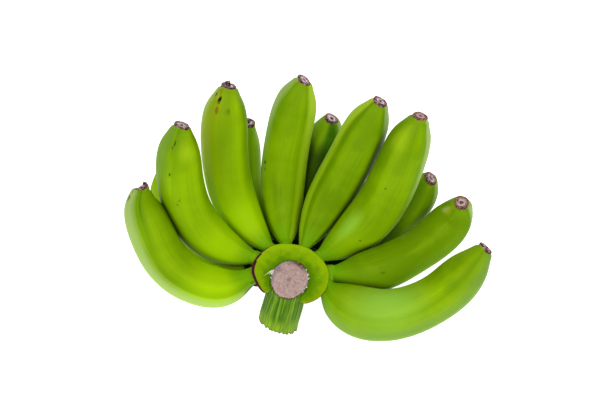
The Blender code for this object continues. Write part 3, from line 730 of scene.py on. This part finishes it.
def crownCushion():
    shape = bmesh.new()
    outline = ((0.0, 0.0), (0.62, 0.0), (0.88, 0.03), (1.0, 0.10), (1.2, 0.24), (1.6, 0.36), (1.7, 0.46),
               (1.3, 0.70), (0.8, 0.9), (0.4, 1.0), (0.0, 1.0))
    solids = []
    rings = []
    for reach, drop in outline:
        turns = turnsAround(48)
        behind = np.interp((np.degrees(turns) + 90) % 360 - 90, (-60, -30, -10, 185, 200, 225),
                           (0, 0.8, 1, 1, 0.5, 0))
        front = np.clip(0.2 - np.sin(turns + 0.25) * 1.3, 0, 1) * min(drop * 1.7, 1) * cushion["frontTaper"]
        reach = np.maximum(np.minimum(reach, 1) + max(reach - 1, 0) * behind, 0.01) * cushion["radius"]
        reach *= 1 - front
        rings.append(onCrown(np.stack([np.cos(turns) * reach, np.sin(turns) * reach + cushion["setBack"],
                                       np.full(48, cushion["top"] - drop * cushion["depth"])], 1)))
    solids.append(rings)
    for line, width, travelled, flared in sleeves:
        ahead, across = carriedAcross(line, skyward)
        free = travelled - fruitShape["rootDepth"]
        rings = []
        for at in range(len(line)):
            if free[at] > cushion["sleeveLength"]:
                break
            flare = flared * math.exp(-max(free[at], 0) / cushion["flareLength"])
            tuck = 0.30 * min(max(free[at] - 1.5 * mm, 0) / (5 * mm), 1)
            reach = width[at] * (1.0 + flare - tuck)
            side = np.cross(ahead[at], across[at])
            turns = turnsAround(28)
            rings.append(line[at] + (np.cos(turns)[:, None] * across[at]
                                     + np.sin(turns)[:, None] * side) * reach)
        solids.append(rings)
    for rings in solids:
        around = len(rings[0])
        loops = [[shape.verts.new(p) for p in ring] for ring in rings]
        for first, second in zip(loops, loops[1:]):
            for turn in range(around):
                after = (turn + 1) % around
                shape.faces.new((first[turn], first[after], second[after], second[turn]))
        for loop in (loops[0], loops[-1]):
            shape.faces.new(loop)
    bmesh.ops.recalc_face_normals(shape, faces=shape.faces)
    mesh = bpy.data.meshes.new("crownCushion")
    shape.to_mesh(mesh)
    shape.free()
    helper = linkMesh("crownCushionHelper", mesh)
    grown = helper.modifiers.new("grownTogether", "REMESH")
    grown.mode = "VOXEL"
    grown.voxel_size = cushion["voxel"]
    soft = helper.modifiers.new("softened", "SMOOTH")
    soft.factor = 0.5
    soft.iterations = cushion["smoothing"]
    bpy.context.view_layer.update()
    made = bpy.data.meshes.new_from_object(helper.evaluated_get(bpy.context.evaluated_depsgraph_get()))
    made.name = "crownCushion"
    bpy.data.objects.remove(helper)
    made.materials.clear()
    made.materials.append(crownSkinMaterial())
    made.shade_smooth()
    keepAbove(made, 0.0)
    # painted shade: darker the further below the collar, between the necks
    places = np.empty(len(made.vertices) * 3, np.float32)
    made.vertices.foreach_get("co", places)
    depth = -(places.reshape(-1, 3) - np.array(collarCentre)) @ np.array(crownFrame.to_3x3())[:, 2]
    made.attributes.new("crannyShade", "FLOAT", "POINT").data.foreach_set(
        "value", np.clip((depth - 6 * mm) / (5 * mm), 0, 1).astype(np.float32))
    return linkMesh("crownCushion", made)


# The collar: a shallow dish of the same skin round the stalk, open at the front; it is yellower towards
# its raised lip, which carries a thin purple-brown scar where the bract was
collar = {
    "from": -67.0, "to": 222.0, "steps": 110, "outer": 31.0 * mm, "armOuter": 28.0 * mm, "innerCore": 12.6 * mm,
    "light": "#9EC400", "deepToneAndShade": "#6A9A00", "edge": "#561A2C", "edgeThin": "#7A5A26", "flaw": "#B4CC4E",
    "section": ((0.0, 1.2), (0.10, 0.5), (0.25, -0.4), (0.45, -0.5), (0.62, 0.0), (0.78, 0.8), (0.87, 1.5),
                (0.905, 1.8), (0.935, 2.05), (0.96, 2.2), (0.98, 2.2), (0.993, 2.0), (1.0, 1.4), (0.995, 0.6),
                (0.97, -0.3),
                (0.91, -1.2), (0.80, -2.2), (0.6, -3.6), (0.35, -5.5), (0.0, -8.0)),
}


def collarOuter(degrees):
    arm = max(np.interp(degrees, (-67, -20), (1, 0)), np.interp(degrees, (180, 216), (0, 1)))
    wave = 0.35 * math.sin(math.radians(degrees * 3 + 20)) + 0.25 * math.sin(math.radians(degrees * 7))
    return collar["outer"] + (collar["armOuter"] - collar["outer"]) * arm + wave * mm


def collarRing():
    material, tree, surface = newMaterial("greenCollarSkin")
    reach, lip, strong = (addNode(tree, "ShaderNodeAttribute", attribute_name=name).outputs["Fac"]
                          for name in ("reach", "lip", "strong"))
    place = addNode(tree, "ShaderNodeTexCoord").outputs["Object"]
    blotches, fine = (addNode(tree, "ShaderNodeTexNoise", {"Vector": place, "Scale": 1 / size,
                      "Detail": detail}).outputs["Fac"]
                      for size, detail in (((6 * mm), 3.0), ((1.1 * mm), 3.0)))
    share = grow(tree, "ADD", reach, ("MULTIPLY", ("SUBTRACT", blotches, 0.5), 0.7))
    colour = grow(tree, "MIX", ("STEP", share, 0.35, 0.95), collar["deepToneAndShade"],
                   collar["light"])
    colour = grow(tree, "MIX", ("STEP", fine, 0.62, 0.8, 0.0, 0.5), colour, collar["flaw"])
    edgeColour = grow(tree, "MIX", strong, collar["edgeThin"], collar["edge"])
    ragged = grow(tree, "ADD", lip, ("MULTIPLY", ("SUBTRACT", fine, 0.5), 0.5))
    colour = grow(tree, "MIX", ("STEP", ragged, 0.45, 0.7), colour, edgeColour)
    finishSurface(tree, surface, colour, (0.35, 0.25 * mm, fine), 0.45, 0.05)
    rings, reaches, lips, strengths = [], [], [], []
    core = np.array([0.0, -crown["stalkForward"]])
    for number in range(collar["steps"] + 1):
        part = number / collar["steps"]
        degrees = collar["from"] + (collar["to"] - collar["from"]) * part
        way = np.array([math.cos(math.radians(degrees)), math.sin(math.radians(degrees))])
        along = way @ core
        inner = along + math.sqrt(along * along - core @ core + collar["innerCore"] ** 2)
        outer = collarOuter(degrees)
        fromEnd = min(part, 1 - part) * (collar["to"] - collar["from"]) / 9.0
        full = math.sqrt(max(0.0, 1 - (1 - min(fromEnd, 1)) ** 2)) * 0.92 + 0.08
        ring, ringReach, ringLip = [], [], []
        left = np.interp(degrees, (95, 150, 215, 222), (0.0, 1.0, 1.0, 0.6))
        edgeFrom = 0.985 - 0.095 * np.interp(degrees, (100, 135, 165, 205, 222), (0.0, 0.35, 1.0, 1.0, 0.5))
        for share, height in collar["section"]:
            here = inner + (outer - inner) * share
            middle = (inner + outer) / 2
            here = middle + (here - middle) * (0.45 + 0.55 * full)
            lift = (-1.6 + (height + 1.6) * full) * mm
            lift += 0.25 * mm * rough((way[0] * here, way[1] * here, 0), 6 * mm, 3)
            ring.append((way[0] * here, way[1] * here, lift))
            ringReach.append(share)
            ringLip.append(1.0 if share > edgeFrom and height > -3 else 0.0)
        rings.append(onCrown(ring))
        reaches.append(ringReach)
        lips.append(ringLip)
        strengths.append([left] * len(ring))
    return loft("collar", rings, material, {"reach": reaches, "lip": lips, "strong": strengths})


# The stalk: fibrous green peduncle, cut across at the top and torn off at the foot
stalk = {
    "top": 15.4 * mm, "foot": 16.5 * mm, "length": 67.6 * mm, "topShift": -1.2 * mm, "footShift": -2.3 * mm,
    "footLean": 50.1, "footTowards": 62.6,
    "around": 144, "rings": 40, "skin": "#5E8C02", "grey": "#7EA022", "dark": "#2E5A00", "torn": "#2C2C14",
    "yellow": "#87AE1C", "grooveWidth": 2.2 * mm, "grooveDepth": 0.55 * mm, "tearDepth": 6.5 * mm,
}


def stalkMaterial():
    material, tree, surface = newMaterial("fibrousStalkSkin")
    skin, turn, down = (addNode(tree, "ShaderNodeAttribute", attribute_name=name).outputs["Fac"]
                        for name in ("groove", "turn", "down"))
    place = addNode(tree, "ShaderNodeCombineXYZ", {0: grow(tree, "MULTIPLY", turn, 10.0),
                    1: grow(tree, "MULTIPLY", down, 0.8)}).outputs[0]
    streaks = addNode(tree, "ShaderNodeTexNoise", {"Vector": place, "Scale": 1.0, "Detail": 2.0}).outputs["Fac"]
    grainPlace = addNode(tree, "ShaderNodeTexCoord").outputs["Object"]
    fine = addNode(tree, "ShaderNodeTexNoise", {"Vector": grainPlace, "Scale": 1 / (0.9 * mm),
                   "Detail": 3.0}).outputs["Fac"]
    colour = grow(tree, "MIX", ("STEP", skin, 0.25, 0.85), stalk["dark"], stalk["skin"])
    colour = grow(tree, "MIX", ("STEP", streaks, 0.47, 0.62, 0.0, 0.85), colour, stalk["grey"])
    yellow = grow(tree, "MULTIPLY", ("STEP", down, 0.55, 0.95), ("STEP", streaks, 0.6, 0.4))
    colour = grow(tree, "MIX", yellow, colour, stalk["yellow"])
    colour = grow(tree, "MIX", ("STEP", fine, 0.62, 0.85, 0.0, 0.4), colour, stalk["dark"])
    edge = grow(tree, "ADD", down, ("MULTIPLY", ("SUBTRACT", fine, 0.5), 0.06))
    colour = grow(tree, "MIX", ("STEP", edge, 0.965, 0.99), colour, stalk["torn"])
    finishSurface(tree, surface, colour, (0.5, 0.4 * mm, grow(tree, "ADD", streaks, ("MULTIPLY", fine, 0.3))),
                  0.62, 0.05)
    return material


def cutPlane():  # a point on the cut face and its normal, in the crown's frame
    tilt = math.radians(crown["cutTilt"])
    facing = crownFrame.to_3x3().transposed() @ Vector((0, math.sin(tilt), math.cos(tilt)))
    return np.array([0, -crown["stalkForward"], crown["cutRise"]]), np.array(facing)


def stalkBody():
    place, facing = cutPlane()
    lean, towards = math.radians(90 - stalk["footLean"]), math.radians(stalk["footTowards"])
    footFacing = -Vector((math.cos(towards) * math.cos(lean), math.sin(towards) * math.cos(lean),
                          math.sin(lean)))
    footFacing = np.array(crownFrame.to_3x3().transposed() @ footFacing)
    footPlace = np.array([stalk["footShift"], -crown["stalkForward"], crown["cutRise"] - stalk["length"]])
    rings, grooves, turnsAt, downs = [], [], [], []
    turns = turnsAround(stalk["around"])
    for number in range(stalk["rings"] + 4):
        part = min(number / stalk["rings"], 1.0)
        inward = max(0, number - stalk["rings"])
        ring, ringGroove = [], []
        for turn in turns:
            way = np.array([math.cos(turn), math.sin(turn), 0.0])
            around = tuple(way * 15 * mm)
            groove = rough(around, stalk["grooveWidth"], 5) * 0.7 + rough(around, 5.5 * mm, 9) * 0.6
            reach = stalk["top"] + (stalk["foot"] - stalk["top"]) * part
            reach += groove * stalk["grooveDepth"] * (0.35 + 0.65 * min(part * 4, 1))
            reach += 0.5 * mm * rough((around[0], around[1], part * 30 * mm), 9 * mm, 4)
            reach *= 1 - 0.05 * math.exp(-((part - 0.16) / 0.09) ** 2)
            high = place[2] - (way[:2] @ facing[:2]) * reach / facing[2]
            edge = np.array([way[0] * reach + stalk["footShift"], way[1] * reach - crown["stalkForward"], 0])
            low = footPlace[2] - ((edge - footPlace)[:2] @ footFacing[:2]) / footFacing[2]
            tear = abs(rough(around, 2.4 * mm, 21)) + 0.6 * abs(rough(around, 1.0 * mm, 33))
            low += tear * stalk["tearDepth"]
            high -= 0.15 * mm
            reach *= (1.0, 0.93, 0.6, 0.2)[inward]
            low += (0.0, 0.4, 3.0, 4.0)[inward] * mm
            height = high + (low - high) * part
            ring.append((way[0] * reach + stalk["topShift"] + (stalk["footShift"] - stalk["topShift"]) * part,
                         way[1] * reach - crown["stalkForward"], height))
            ringGroove.append(0.5 + 0.5 * groove)
        rings.append(onCrown(ring))
        grooves.append(ringGroove)
        turnsAt.append(list(np.abs(turns / math.pi - 1) * 3))
        downs.append([part if not inward else 1.0] * len(turns))
    piece = loft("stalk", rings, stalkMaterial(), {"groove": grooves, "turn": turnsAt, "down": downs})
    keepAbove(piece.data, 0.0)
    return piece


# The cut across the stalk: dry pith and fibre ends, taupe with a mauve cast, greyer skin round the edge
cutFace = {
    "rings": 26, "around": 120, "pith": "#B89890", "pale": "#CDB6B0", "brown": "#86625A", "skin": "#8C7C8A",
    "torn": "#4A2A28", "rust": "#6A3428", "fray": "#F2F2E6", "frayDark": "#A8AC80", "radius": 14.9 * mm,
    "frays": ((152, 4.4, 2.6, 1.4, 8.0), (162, 2.6, 1.2, 1.2, 1.0), (174, 1.6, 1.0, 1.2, 0.6),
              (30, 1.8, 1.2, 1.0, 0.5), (16, 1.8, 1.5, 1.4, -0.6), (2, 2.0, 1.2, 1.2, 0.8),
              (-24, 1.6, 1.3, 1.0, 0.3),
              (-40, 1.4, 0.7, 0.9, -0.4), (64, 1.2, 0.8, 0.9, 0.4)),
}


def cutFaceMaterial():
    material, tree, surface = newMaterial("dryStalkPith")
    reach, behind = (addNode(tree, "ShaderNodeAttribute", attribute_name=name).outputs["Fac"]
                     for name in ("reach", "behind"))
    place = addNode(tree, "ShaderNodeTexCoord").outputs["Object"]
    grain = addNode(tree, "ShaderNodeTexNoise", {"Vector": place, "Scale": 1 / (1.8 * mm), "Detail": 6.0,
                    "Roughness": 0.75}).outputs["Fac"]
    patches = addNode(tree, "ShaderNodeTexNoise", {"Vector": place, "Scale": 1 / (7 * mm),
                      "Detail": 3.0}).outputs["Fac"]
    cells = addNode(tree, "ShaderNodeTexVoronoi", {"Vector": place, "Scale": 1 / (1.1 * mm)})
    colour = grow(tree, "MIX", ("STEP", grain, 0.40, 0.66), cutFace["pith"],
                   cutFace["pale"])
    colour = grow(tree, "MIX", ("STEP", grain, 0.46, 0.34, 0.0, 0.7), colour, cutFace["brown"])
    colour = grow(tree, "MIX", ("STEP", patches, 0.5, 0.75, 0.0, 0.45), colour, cutFace["brown"])
    colour = grow(tree, "MIX", ("STEP", cells.outputs["Distance"], 0.30, 0.05, 0.0, 0.5), colour,
                   cutFace["brown"])
    centre = grow(tree, "ADD", reach, ("MULTIPLY", ("SUBTRACT", grain, 0.5), 0.22))
    colour = grow(tree, "MIX", ("STEP", centre, 0.20, 0.04, 0.0, 0.6), colour, cutFace["brown"])
    patched = grow(tree, "ADD", centre, ("MULTIPLY", ("SUBTRACT", patches, 0.5), 0.9))
    skinShare = grow(tree, "MULTIPLY", ("STEP", patched, 0.78, 1.05, 0.0, 0.75), behind)
    colour = grow(tree, "MIX", skinShare, colour, cutFace["skin"])
    worn = addNode(tree, "ShaderNodeAttribute", attribute_name="worn").outputs["Fac"]
    colour = grow(tree, "MIX", ("MULTIPLY", worn, ("STEP", grain, 0.42, 0.50)), colour,
                   cutFace["rust"])
    colour = grow(tree, "MIX", ("STEP", centre, 0.955, 0.985), colour, cutFace["torn"])
    finishSurface(tree, surface, colour, (0.7, 0.6 * mm, grain), 0.8, 0.15)
    return material


def cutDisc(material):
    place, facing = cutPlane()
    rings, reaches, behinds, worns = [], [], [], []
    turns = turnsAround(cutFace["around"])
    for number in range(cutFace["rings"] + 3):
        reach = min(number / cutFace["rings"], 1.0) * 0.99 + 0.004
        below = max(0, number - cutFace["rings"])
        ring = []
        for turn in turns:
            way = np.array([math.cos(turn), math.sin(turn)])
            bulge = 1 + 0.012 * math.sin(turn * 3 + 1) + 0.010 * math.sin(turn * 8)
            here = way * reach * cutFace["radius"] * bulge
            height = place[2] - (here @ facing[:2]) / facing[2]
            rise = 0.55 * (1 - max(0, (reach - 0.88) / 0.12) ** 2) - below * 0.6
            rise += 0.40 * rough((here[0], here[1], 0), 2.6 * mm, 2)
            rise += 0.25 * rough((here[0], here[1], 0), 0.9 * mm, 6)
            rise -= 0.5 * math.exp(-(reach / 0.12) ** 2)
            ring.append((here[0] + stalk["topShift"], here[1] - crown["stalkForward"] + 0.2 * mm,
                         height + rise * mm))
        rings.append(onCrown(ring))
        reaches.append([reach] * len(turns))
        behinds.append(list(np.clip(np.sin(turns) * 1.4 + 0.55 - 0.5 * np.cos(turns), 0, 1)))
        worns.append(list(np.exp(-((turns - 1.0) / 0.5) ** 2) * np.clip((reach - 0.72) / 0.14, 0, 1)))
    return loft("cutFace", rings, material, {"reach": reaches, "behind": behinds, "worn": worns})


def frayedFibre(name, material, turn, length, width, lift, curl):  # a shred of skin torn up at the cut
    place, facing = cutPlane()
    way = np.array([math.cos(turn), math.sin(turn), 0.0])
    aside = np.array([-way[1], way[0], 0.0])
    start = place + way * cutFace["radius"] * 0.93
    start[0] += stalk["topShift"]
    start[2] -= (way[:2] @ facing[:2]) * cutFace["radius"] * 0.93 / facing[2]
    rings = []
    for step in range(9):
        part = step / 8
        middle = start + way * length * part + aside * curl * part * part
        middle[2] += lift * math.sin(part * 2.2) - 0.5 * mm
        reach = width * (1 - 0.75 * part) * (1 + 0.25 * rough((part * 5, turn, 0), 1.0, 8))
        rings.append(onCrown([middle + aside * math.cos(t) * reach
                              + np.array([0, 0, 1]) * math.sin(t) * reach * 0.3
                              for t in turnsAround(10)]))
    return loft(name, rings, material, {"reach": [[0.5] * 10] * 9, "behind": [[0.0] * 10] * 9})


def frayMaterial():
    material, tree, surface = newMaterial("paleTornFibre")
    place = addNode(tree, "ShaderNodeTexCoord").outputs["Object"]
    grain = addNode(tree, "ShaderNodeTexNoise", {"Vector": place, "Scale": 1 / (0.8 * mm),
                    "Detail": 3.0}).outputs["Fac"]
    tree.links.new(grow(tree, "MIX", ("STEP", grain, 0.4, 0.65), cutFace["fray"],
                         cutFace["frayDark"]), surface.inputs["Base Color"])
    surface.inputs["Roughness"].default_value = 0.7
    return material


# The blossom scar at every tip: a dry crust round a pale pit, with the black stub of the style
scar = {
    "around": 48, "crust": "#8A4E4E", "crustPale": "#D4ACAA", "pit": "#FAF4F6", "dark": "#160A0C",
    "mauve": "#94706E", "plum": "#4E1E2C", "reach": 5.9 * mm,
    "profile": ((0.012, 0.35), (0.09, 0.25), (0.15, 0.0), (0.24, -0.40), (0.38, -0.55), (0.52, -0.50),
                (0.64, -0.25), (0.74, 0.0), (0.83, 0.25), (0.91, 0.30), (0.97, 0.10), (1.01, -0.3),
                (1.02, -0.9), (1.01, -1.8), (0.96, -2.8)),
    "warm": {"upper_banana_6": 0.45, "upper_banana_7": 0.35, "lower_banana_4": 0.2}, "warmBrown": "#A2603A",
    "leans": {"upper_banana_6": (0.12, -0.05, 0.13)},  # the way a tip bends off its fruit's own line
    "leanLift": 0.6 * mm,
}


def scarMaterial():
    material, tree, surface = newMaterial("driedBlossomScar")
    reach = addNode(tree, "ShaderNodeAttribute", attribute_name="reach").outputs["Fac"]
    place = addNode(tree, "ShaderNodeTexCoord").outputs["Object"]
    grain = addNode(tree, "ShaderNodeTexNoise", {"Vector": place, "Scale": 1 / (1.3 * mm), "Detail": 4.0,
                    "Roughness": 0.65}).outputs["Fac"]
    broad = addNode(tree, "ShaderNodeTexNoise", {"Vector": place, "Scale": 1 / (3.4 * mm),
                    "Detail": 2.0}).outputs["Fac"]
    share = grow(tree, "ADD", reach, ("MULTIPLY", ("SUBTRACT", broad, 0.5), 0.22))
    share = grow(tree, "ADD", share, ("MULTIPLY", ("SUBTRACT", grain, 0.5), 0.25))
    colour = addNode(tree, "ShaderNodeValToRGB", {"Fac": share}, stops=(
        (0.0, hexColour(scar["dark"])), (0.20, hexColour(scar["dark"])), (0.27, hexColour(scar["mauve"])),
        (0.34, hexColour(scar["pit"])), (0.56, hexColour(scar["pit"])), (0.63, hexColour(scar["plum"])),
        (0.70, hexColour(scar["crustPale"])), (0.80, hexColour(scar["crust"])),
        (0.93, hexColour(scar["crust"])),
        (1.0, hexColour(scar["plum"])))).outputs[0]
    colour = grow(tree, "MIX", ("STEP", broad, 0.55, 0.68, 0.0, 0.7), colour, scar["plum"])
    colour = grow(tree, "MIX", ("STEP", grain, 0.51, 0.60, 0.0, 0.75), colour, scar["crustPale"])
    colour = grow(tree, "MIX", ("STEP", grain, 0.47, 0.39, 0.0, 0.85), colour, scar["dark"])
    warm = addNode(tree, "ShaderNodeAttribute", attribute_name="warm").outputs["Fac"]
    colour = grow(tree, "MIX", ("MULTIPLY", warm, ("STEP", grain, 0.35, 0.55)), colour,
                   scar["warmBrown"])
    finishSurface(tree, surface, colour, (0.7, 0.4 * mm, grain), 0.75, 0.25)
    return material


def blossomScar(name, tip, ahead, across, seed, warm, material):
    side = np.cross(ahead, across)
    rings, reaches = [], []
    turns = turnsAround(scar["around"])
    for share, height in scar["profile"]:
        ring = []
        for turn in turns:
            way = math.cos(turn) * across + math.sin(turn) * side
            crumple = 1 + (0.10 * rough(way * 5 * mm, 4 * mm, seed)
                           + 0.06 * rough(way * 5 * mm, 1.4 * mm, seed + 9)) * min(share * 2, 1)
            here = way * share * scar["reach"] * crumple
            lift = height + (0.35 * rough(way * share * 5 * mm, 1.7 * mm, seed + 40) if share < 1.03 else 0)
            ring.append(tip + here + ahead * lift * mm)
        rings.append(ring)
        reaches.append([share] * len(turns))
    return loft(name, rings, material, {"reach": reaches, "warm": [[warm] * scar["around"]] * len(rings)})


def driedStyle(name, tip, ahead, across, size, seed, material):  # the shrivelled black remains of the flower
    side = np.cross(ahead, across)
    rings = []
    for step in range(12):
        part = step / 11
        lift = -0.6 + part * 2.3 * size
        swing = np.array([math.sin(part * 4 + seed), math.cos(part * 3 + seed)]) * 0.4 * part * size
        reach = size * (0.5 + 1.1 * math.sin(math.pi * min(part * 1.1, 1)) ** 0.6) * (1 - 0.25 * part)
        ring = []
        for turn in turnsAround(16):
            way = math.cos(turn) * across + math.sin(turn) * side
            crumple = 1 + 0.7 * rough((math.cos(turn), math.sin(turn), part * 4), 0.8, seed)
            ring.append(tip + ahead * lift * mm + (swing[0] * across + swing[1] * side) * mm
                        + way * max(reach * crumple, 0.15) * 0.8 * mm)
        rings.append(ring)
    return loft(name, rings, material, {"reach": [[0.05] * 16] * 12})


crownPiece = crownCushion()
placePiece(crownPiece, "stalk", "crown_and_stalk")
placePiece(collarRing(), "stalk", "crown_and_stalk")
placePiece(stalkBody(), "stalk", "crown_and_stalk")
placePiece(cutDisc(cutFaceMaterial()), "scar", "crown_and_stalk")
frayLook = frayMaterial()
for order, (turn, length, width, lift, curl) in enumerate(cutFace["frays"]):
    placePiece(frayedFibre("frayedFibre" + str(order), frayLook, math.radians(turn), length * mm, width * mm,
                           lift * mm, curl * mm), "scar")
scarLook = scarMaterial()
for order, (node, (tip, ahead, across)) in enumerate(tips.items()):
    if node in scar["leans"]:
        ahead = ahead + np.array(scar["leans"][node])
        ahead = ahead / np.linalg.norm(ahead)
        across = across - ahead * across.dot(ahead)
        across = across / np.linalg.norm(across)
        tip = tip + ahead * scar["leanLift"]
    placePiece(blossomScar(pieceName("blossomScar", node), tip, ahead, across, order,
                           scar["warm"].get(node, 0), scarLook), "scar")
    if "style" in fruits[node]:
        foot = tip + np.cross(ahead, across) * fruits[node].get("styleAside", 0) * mm
        placePiece(driedStyle(pieceName("driedStyle", node), foot, ahead, across,
                              fruits[node]["style"], order, scarLook), "scar")
print("crown, collar, stalk and", len(tips), "blossom scars made")


# Camera and light
view = {"rise": 65.0, "distance": 945 * mm, "shiftRight": 12.7 * mm, "shiftUp": 57.6 * mm, "lens": 69.85}


def addCamera():
    rise = math.radians(view["rise"])
    up = Vector((0, math.sin(rise), math.cos(rise)))
    back = Vector((0, -math.cos(rise), math.sin(rise)))
    data = bpy.data.cameras.new("camera")
    data.lens = view["lens"]
    data.sensor_width = 36.0
    data.clip_start = 0.01
    camera = bpy.data.objects.new("camera", data)
    camera.location = collarCentre + Vector((view["shiftRight"], 0, 0)) + up * view["shiftUp"] \
        + back * view["distance"]
    camera.rotation_euler = (math.radians(90 - view["rise"]), 0, 0)
    bpy.context.scene.collection.objects.link(camera)
    bpy.context.scene.camera = camera


def addSoftbox(name, place, target, size, power, colour="#FFFFFF"):
    data = bpy.data.lights.new(name, "AREA")
    data.shape = "DISK"
    data.size = size
    data.energy = power
    data.color = hexColour(colour)[:3]
    light = bpy.data.objects.new(name, data)
    light.location = place
    light.rotation_euler = (Vector(target) - Vector(place)).to_track_quat("-Z", "Y").to_euler()
    bpy.context.scene.collection.objects.link(light)


def addFloor():
    mesh = bpy.data.meshes.new("floor")
    mesh.from_pydata([(-6, -6, 0), (6, -6, 0), (6, 6, 0), (-6, 6, 0)], [], [(0, 1, 2, 3)])
    floor = linkMesh("floor", mesh)
    material, tree, surface = newMaterial("paperWhite")
    grain = addNode(tree, "ShaderNodeTexNoise", {"Scale": 900.0, "Detail": 2.0})
    tree.links.new(addNode(tree, "ShaderNodeTexCoord").outputs["Object"], grain.inputs["Vector"])
    tree.links.new(grow(tree, "MIX", grain.outputs["Fac"], "#F6F6F6", "#FAFAFA"),
                   surface.inputs["Base Color"])
    surface.inputs["Roughness"].default_value = 0.9
    surface.inputs["Specular IOR Level"].default_value = 0.0
    surface.inputs["Emission Color"].default_value = (1, 1, 1, 1)
    surface.inputs["Emission Strength"].default_value = 0.9
    mesh.materials.append(material)


world = bpy.data.worlds.new("studio")
world.use_nodes = True
world.node_tree.nodes["Background"].inputs["Color"].default_value = (1, 1, 1, 1)
world.node_tree.nodes["Background"].inputs["Strength"].default_value = 0.42
bpy.context.scene.world = world
bpy.context.scene.view_settings.view_transform = "Standard"
addCamera()
addFloor()
addSoftbox("keySoftbox", (-0.05, -0.35, 1.15), (0, 0, 0.05), 0.8, 5.6)
addSoftbox("fillSoftbox", (0.9, -0.5, 1.25), (0, 0, 0.05), 1.1, 2.2)
addSoftbox("lowSoftbox", (-0.6, -1.1, 0.5), (0, 0, 0.05), 0.9, 2.0)
